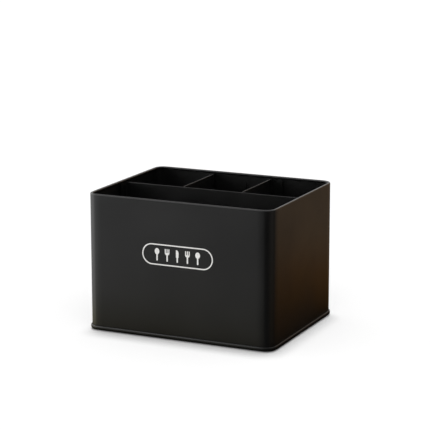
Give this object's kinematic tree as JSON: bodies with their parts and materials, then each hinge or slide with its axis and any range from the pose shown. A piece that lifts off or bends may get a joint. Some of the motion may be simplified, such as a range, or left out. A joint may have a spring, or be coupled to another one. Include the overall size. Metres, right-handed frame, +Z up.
{
  "type": "cutlery organizer",
  "caption": "Rounded black sheet-steel cutlery organizer with a curled rim and a seamed base, a wide napkin bay in front and narrower bays behind, parted by a divider set that lifts out.",
  "frame": {"origin": "on the table under the middle of the box, level with the undersides of the feet", "axes": "+X to the right along the wide front, -Y the way the printed front faces, +Z up"},
  "size_m": [0.2026, 0.1612, 0.14],
  "materials": {
    "box_coat": "satin",
    "divider_coat": "satin",
    "foot_rubber": "matte",
    "sign_ink": "satin"
  },
  "bodies": {
    "box": {"body_wrapper": "box_coat", "base_pan": "box_coat", "front_left_foot": "foot_rubber", "front_right_foot": "foot_rubber", "rear_left_foot": "foot_rubber", "rear_right_foot": "foot_rubber", "sign_outline": "sign_ink", "sign_marks": "sign_ink"},
    "divider_set": {"long_divider": "divider_coat", "left_cross_divider": "divider_coat", "right_cross_divider": "divider_coat"}
  },
  "joints": [
    {"name": "divider_lift", "type": "slide", "parent": "box", "child": "divider_set", "axis": [0, 0, 1], "range_m": [0, 0.145]}
  ]
}
